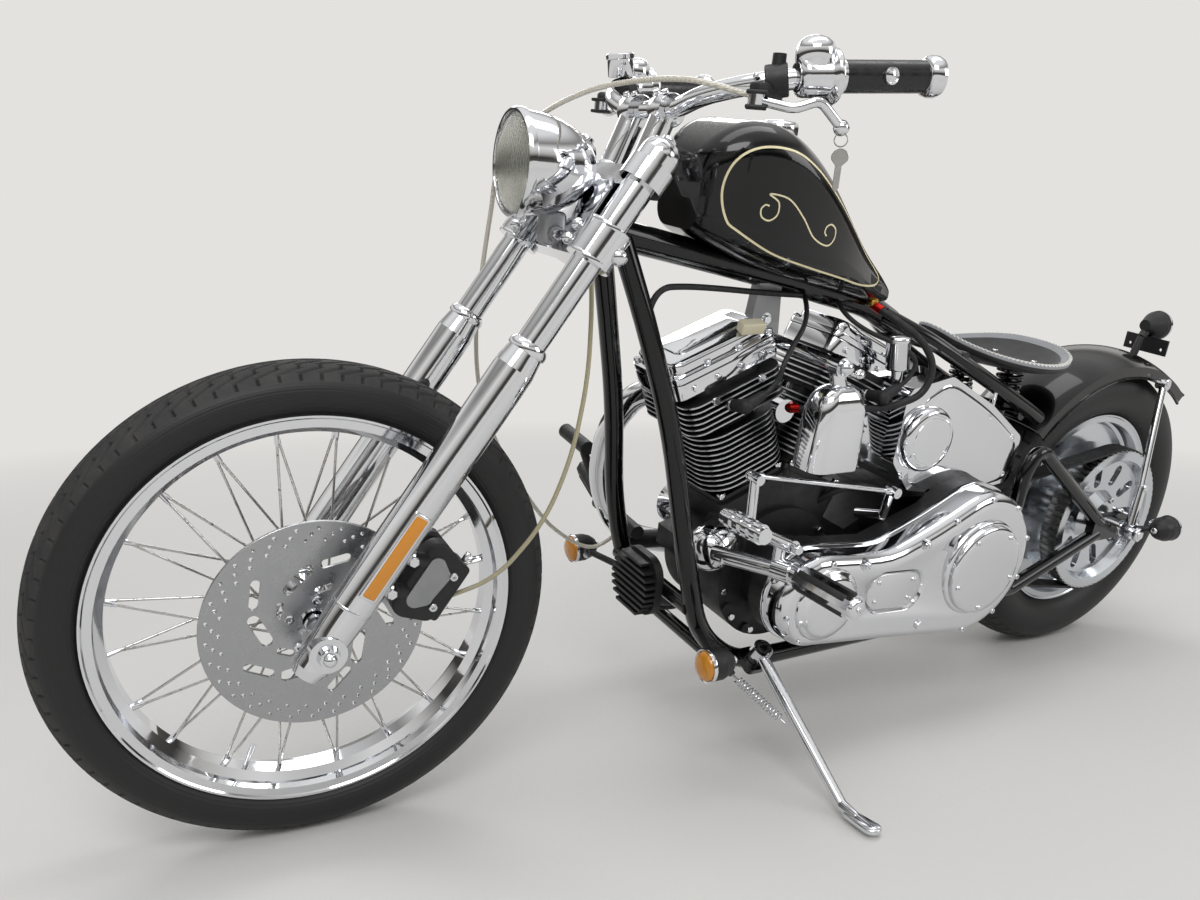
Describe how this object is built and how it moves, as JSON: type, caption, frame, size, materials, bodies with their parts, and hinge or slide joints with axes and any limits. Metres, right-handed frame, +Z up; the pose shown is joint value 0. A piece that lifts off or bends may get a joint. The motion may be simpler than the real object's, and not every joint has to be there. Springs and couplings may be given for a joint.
{
  "type": "chopper motorcycle",
  "caption": "Leaning V-twin chopper with long raked fork, laced front wheel, disc rear wheel, solo sprung seat and side stand.",
  "frame": {"origin": "on the floor, below the middle of the bounding box", "axes": "+X forward, +Y to the rider's left, +Z up; the bike leans to +Y on its side stand"},
  "size_m": [2.312, 0.8277, 1.139],
  "materials": {
    "black_paint": "gloss",
    "black_satin": "satin",
    "fin_black": "satin black with machined edges",
    "chrome": "polished",
    "cast_grey": "cast, satin",
    "polished_alloy": "polished",
    "stainless": "brushed",
    "tyre_rubber": "matt",
    "black_rubber": "matt",
    "clear_hose": "clear jacket",
    "lens_glass": "fluted",
    "amber_lens": "translucent",
    "black_leather": "satin"
  },
  "bodies": {
    "frame": {"frame_backbone": "black_paint", "frame_rails": "black_paint", "frame_top_tubes": "black_paint", "frame_crossmembers": "black_paint", "swingarm": "black_paint", "rear_axle": "chrome", "crankcase": "black_satin", "cylinders": "fin_black", "rocker_covers": "chrome", "cam_cover": "chrome", "pushrod_tubes": "chrome", "air_cleaner": "chrome", "exhaust_pipes": "chrome", "top_mount": "cast_grey", "horn": "chrome", "transmission": "black_satin", "front_pulley": "stainless", "inner_primary": "black_satin", "outer_primary": "chrome", "drive_belt": "black_rubber", "fuel_tank": "black_paint", "oil_tank": "chrome", "seat": "black_leather", "seat_springs": "black_paint", "rear_fender": "black_paint", "fender_struts": "chrome", "tail_lamp": "black_paint", "turn_signals": "black_paint", "lamp_lenses": "amber_lens", "voltage_regulator": "black_satin", "left_foot_control": "chrome", "right_foot_control": "black_satin", "fuel_hose": "black_rubber", "clutch_cable": "clear_hose", "stand_bracket": "black_paint", "stand_spring": "chrome"},
    "steering": {"front_axle": "chrome", "fork_tubes": "chrome", "fork_sliders": "chrome", "lower_clamp": "cast_grey", "upper_clamp": "chrome", "handlebar": "chrome", "grips": "black_rubber", "left_control": "chrome", "right_control": "chrome", "headlamp_shell": "chrome", "headlamp_lens": "lens_glass", "front_caliper": "black_satin", "front_brake_hose": "clear_hose"},
    "front_wheel": {"front_tyre": "tyre_rubber", "front_rim": "chrome", "front_hub": "chrome", "front_spokes": "chrome", "front_disc": "stainless"},
    "rear_wheel": {"rear_tyre": "tyre_rubber", "rear_wheel": "polished_alloy", "rear_pulley": "polished_alloy", "rear_disc": "stainless"},
    "side_stand": {"side_stand": "chrome"}
  },
  "joints": [
    {"name": "steering_head", "type": "hinge", "parent": "frame", "child": "steering", "pos_m": [0.42875, 0.06147, 0.81988], "axis": [-0.5524, 0.1587, 0.8183], "range_deg": [-25, 35], "deforming": ["clutch_cable"]},
    {"name": "front_wheel_spin", "type": "hinge", "parent": "steering", "child": "front_wheel", "pos_m": [0.81165, -0.03565, 0.34199], "axis": [0.0728, 0.9871, -0.1423], "continuous": true},
    {"name": "rear_wheel_spin", "type": "hinge", "parent": "frame", "child": "rear_wheel", "pos_m": [-0.83318, -0.03553, 0.31874], "axis": [0.0001, 0.9817, -0.1903], "continuous": true},
    {"name": "side_stand_pivot", "type": "hinge", "parent": "frame", "child": "side_stand", "pos_m": [0.1149, 0.09333, 0.1853], "axis": [-0.036, 0.6309, 0.775], "range_deg": [0, 80], "deforming": ["stand_spring"]}
  ]
}
